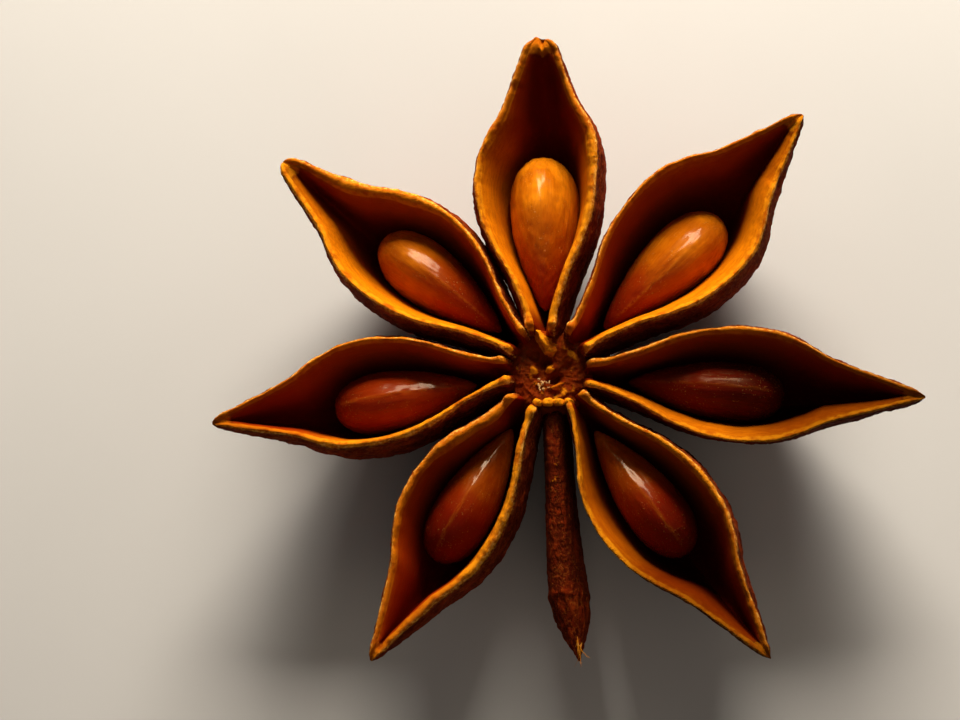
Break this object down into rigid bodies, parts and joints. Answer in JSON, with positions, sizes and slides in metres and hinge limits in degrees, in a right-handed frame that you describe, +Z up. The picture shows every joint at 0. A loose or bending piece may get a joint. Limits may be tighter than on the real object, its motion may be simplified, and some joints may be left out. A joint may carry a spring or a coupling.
{
  "type": "star anise pod",
  "caption": "Dried star anise pod: a woody star of split, boat-shaped carpels round a short column, each holding a glossy seed, with a thin shut carpel among them.",
  "frame": {"origin": "the column's axis at the resting plane, in the middle of the stalk stub's flat end", "axes": "+Z up, out of the open mouths; +X along the pod's longest extent, near the beak of the longest carpel; +Y towards the blunt carpel at the back"},
  "size_m": [0.0337, 0.0299, 0.0082],
  "materials": {
    "husk_wood": "dry, woody husk: dark reddish brown and wrinkled outside, smooth orange brown inside, pale tan at the split edges",
    "seed_coat": null
  },
  "bodies": {
    "root": {"husk": "husk_wood", "seed_n": "seed_coat", "seed_ne": "seed_coat", "seed_e": "seed_coat", "seed_se": "seed_coat", "seed_sw": "seed_coat", "seed_w": "seed_coat", "seed_nw": "seed_coat"}
  },
  "joints": []
}
